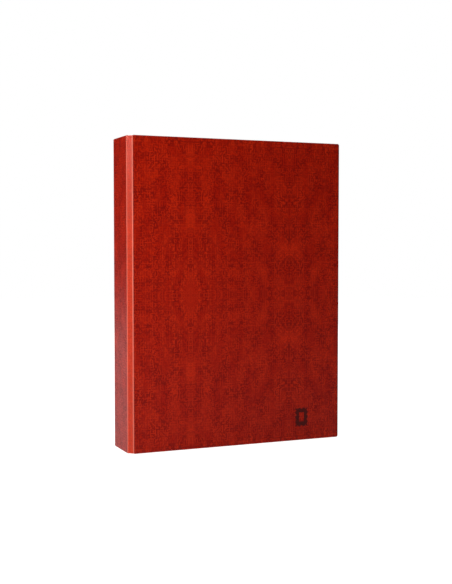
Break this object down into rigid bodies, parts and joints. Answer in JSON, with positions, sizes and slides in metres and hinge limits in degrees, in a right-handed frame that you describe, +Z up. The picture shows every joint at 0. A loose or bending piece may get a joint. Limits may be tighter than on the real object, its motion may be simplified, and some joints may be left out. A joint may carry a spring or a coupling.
{
  "type": "stamp album",
  "caption": "Closed red leather-look ring-binder stamp album standing upright: hinged case of covered boards, ring mechanism on the back cover, leaves with clear pockets.",
  "frame": {"origin": "on the floor under the middle of the closed album's box", "axes": "+X from the spine to the open fore-edge, +Y from the front cover to the back cover, +Z up"},
  "size_m": [0.24, 0.0536, 0.32],
  "materials": {
    "covering": "semi-gloss leather grain",
    "board": "bare greyboard",
    "lining": "matt paper",
    "ring_steel": "nickel plated",
    "rivet_steel": "nickel plated",
    "leaf_card": "matt black card",
    "pocket_film": "clear film"
  },
  "bodies": {
    "back_cover": {"back_covering": "covering", "back_board": "board", "back_lining": "lining", "ring_plate": "ring_steel", "rivet_lower": "rivet_steel", "rivet_upper": "rivet_steel", "leaf_06_card": "leaf_card", "leaf_06_pockets": "pocket_film", "leaf_07_card": "leaf_card", "leaf_07_pockets": "pocket_film", "leaf_08_card": "leaf_card", "leaf_08_pockets": "pocket_film", "leaf_09_card": "leaf_card", "leaf_09_pockets": "pocket_film", "leaf_10_card": "leaf_card", "leaf_10_pockets": "pocket_film", "leaf_11_card": "leaf_card", "leaf_11_pockets": "pocket_film", "leaf_12_card": "leaf_card", "leaf_12_pockets": "pocket_film"},
    "back_hinge": {"back_hinge_covering": "covering", "back_hinge_lining": "lining"},
    "spine": {"spine_covering": "covering", "spine_board": "board", "spine_lining": "lining"},
    "front_hinge": {"front_hinge_covering": "covering", "front_hinge_lining": "lining"},
    "front_cover": {"front_covering": "covering", "front_board": "board", "front_lining": "lining"},
    "ring_jaw_curved": {"ring_blade_spine_side": "ring_steel", "ring_1_curved_half": "ring_steel", "ring_2_curved_half": "ring_steel", "ring_3_curved_half": "ring_steel", "ring_4_curved_half": "ring_steel"},
    "ring_jaw_straight": {"ring_blade_leaf_side": "ring_steel", "ring_1_straight_half": "ring_steel", "ring_2_straight_half": "ring_steel", "ring_3_straight_half": "ring_steel", "ring_4_straight_half": "ring_steel"},
    "lever_upper": {"lever_upper": "ring_steel"},
    "lever_lower": {"lever_lower": "ring_steel"},
    "leaf_01": {"leaf_01_card": "leaf_card", "leaf_01_pockets": "pocket_film"},
    "leaf_02": {"leaf_02_card": "leaf_card", "leaf_02_pockets": "pocket_film"},
    "leaf_03": {"leaf_03_card": "leaf_card", "leaf_03_pockets": "pocket_film"},
    "leaf_04": {"leaf_04_card": "leaf_card", "leaf_04_pockets": "pocket_film"},
    "leaf_05": {"leaf_05_card": "leaf_card", "leaf_05_pockets": "pocket_film"}
  },
  "joints": [
    {"name": "back_fold_cover_side", "type": "hinge", "parent": "back_cover", "child": "back_hinge", "pos_m": [-0.11525, 0.0262, 0], "axis": [0, 0, -1], "range_deg": [0, 45]},
    {"name": "back_fold_spine_side", "type": "hinge", "parent": "back_hinge", "child": "spine", "pos_m": [-0.12, 0.02145, 0], "axis": [0, 0, -1], "range_deg": [0, 45]},
    {"name": "front_fold_spine_side", "type": "hinge", "parent": "spine", "child": "front_hinge", "pos_m": [-0.12, -0.02205, 0], "axis": [0, 0, -1], "range_deg": [0, 45]},
    {"name": "front_fold_cover_side", "type": "hinge", "parent": "front_hinge", "child": "front_cover", "pos_m": [-0.11525, -0.0268, 0], "axis": [0, 0, -1], "range_deg": [0, 45]},
    {"name": "ring_opening", "type": "hinge", "parent": "back_cover", "child": "ring_jaw_curved", "pos_m": [-0.09925, 0.0217, 0], "axis": [0, 0, -1], "range_deg": [0, 8]},
    {"name": "ring_opening_straight", "type": "hinge", "parent": "back_cover", "child": "ring_jaw_straight", "pos_m": [-0.07875, 0.0217, 0], "axis": [0, 0, 1], "range_deg": [0, 8]},
    {"name": "lever_upper_press", "type": "hinge", "parent": "back_cover", "child": "lever_upper", "pos_m": [-0.089, 0.0212, 0.3], "axis": [-1, 0, 0], "range_deg": [0, 30]},
    {"name": "lever_lower_press", "type": "hinge", "parent": "back_cover", "child": "lever_lower", "pos_m": [-0.089, 0.0212, 0.02], "axis": [1, 0, 0], "range_deg": [0, 30]},
    {"name": "leaf_01_turn", "type": "hinge", "parent": "back_cover", "child": "leaf_01", "pos_m": [-0.097, -0.0058, 0], "axis": [0, 0, -1], "range_deg": [0, 90]},
    {"name": "leaf_02_turn", "type": "hinge", "parent": "back_cover", "child": "leaf_02", "pos_m": [-0.097, -0.0058, 0], "axis": [0, 0, -1], "range_deg": [0, 72]},
    {"name": "leaf_03_turn", "type": "hinge", "parent": "back_cover", "child": "leaf_03", "pos_m": [-0.097, -0.0058, 0], "axis": [0, 0, -1], "range_deg": [0, 54]},
    {"name": "leaf_04_turn", "type": "hinge", "parent": "back_cover", "child": "leaf_04", "pos_m": [-0.097, -0.0058, 0], "axis": [0, 0, -1], "range_deg": [0, 36]},
    {"name": "leaf_05_turn", "type": "hinge", "parent": "back_cover", "child": "leaf_05", "pos_m": [-0.097, -0.0058, 0], "axis": [0, 0, -1], "range_deg": [0, 18]}
  ],
  "couplings": [
    {"joint": "back_fold_spine_side", "follows": "back_fold_cover_side", "ratio": 1},
    {"joint": "front_fold_cover_side", "follows": "front_fold_spine_side", "ratio": 1},
    {"joint": "ring_opening_straight", "follows": "ring_opening", "ratio": 1},
    {"joint": "lever_upper_press", "follows": "ring_opening", "ratio": 3.75},
    {"joint": "lever_lower_press", "follows": "ring_opening", "ratio": 3.75},
    {"joint": "leaf_01_turn", "follows": "front_fold_spine_side", "ratio": 2},
    {"joint": "leaf_02_turn", "follows": "front_fold_spine_side", "ratio": 1.6},
    {"joint": "leaf_03_turn", "follows": "front_fold_spine_side", "ratio": 1.2},
    {"joint": "leaf_04_turn", "follows": "front_fold_spine_side", "ratio": 0.8},
    {"joint": "leaf_05_turn", "follows": "front_fold_spine_side", "ratio": 0.4}
  ]
}
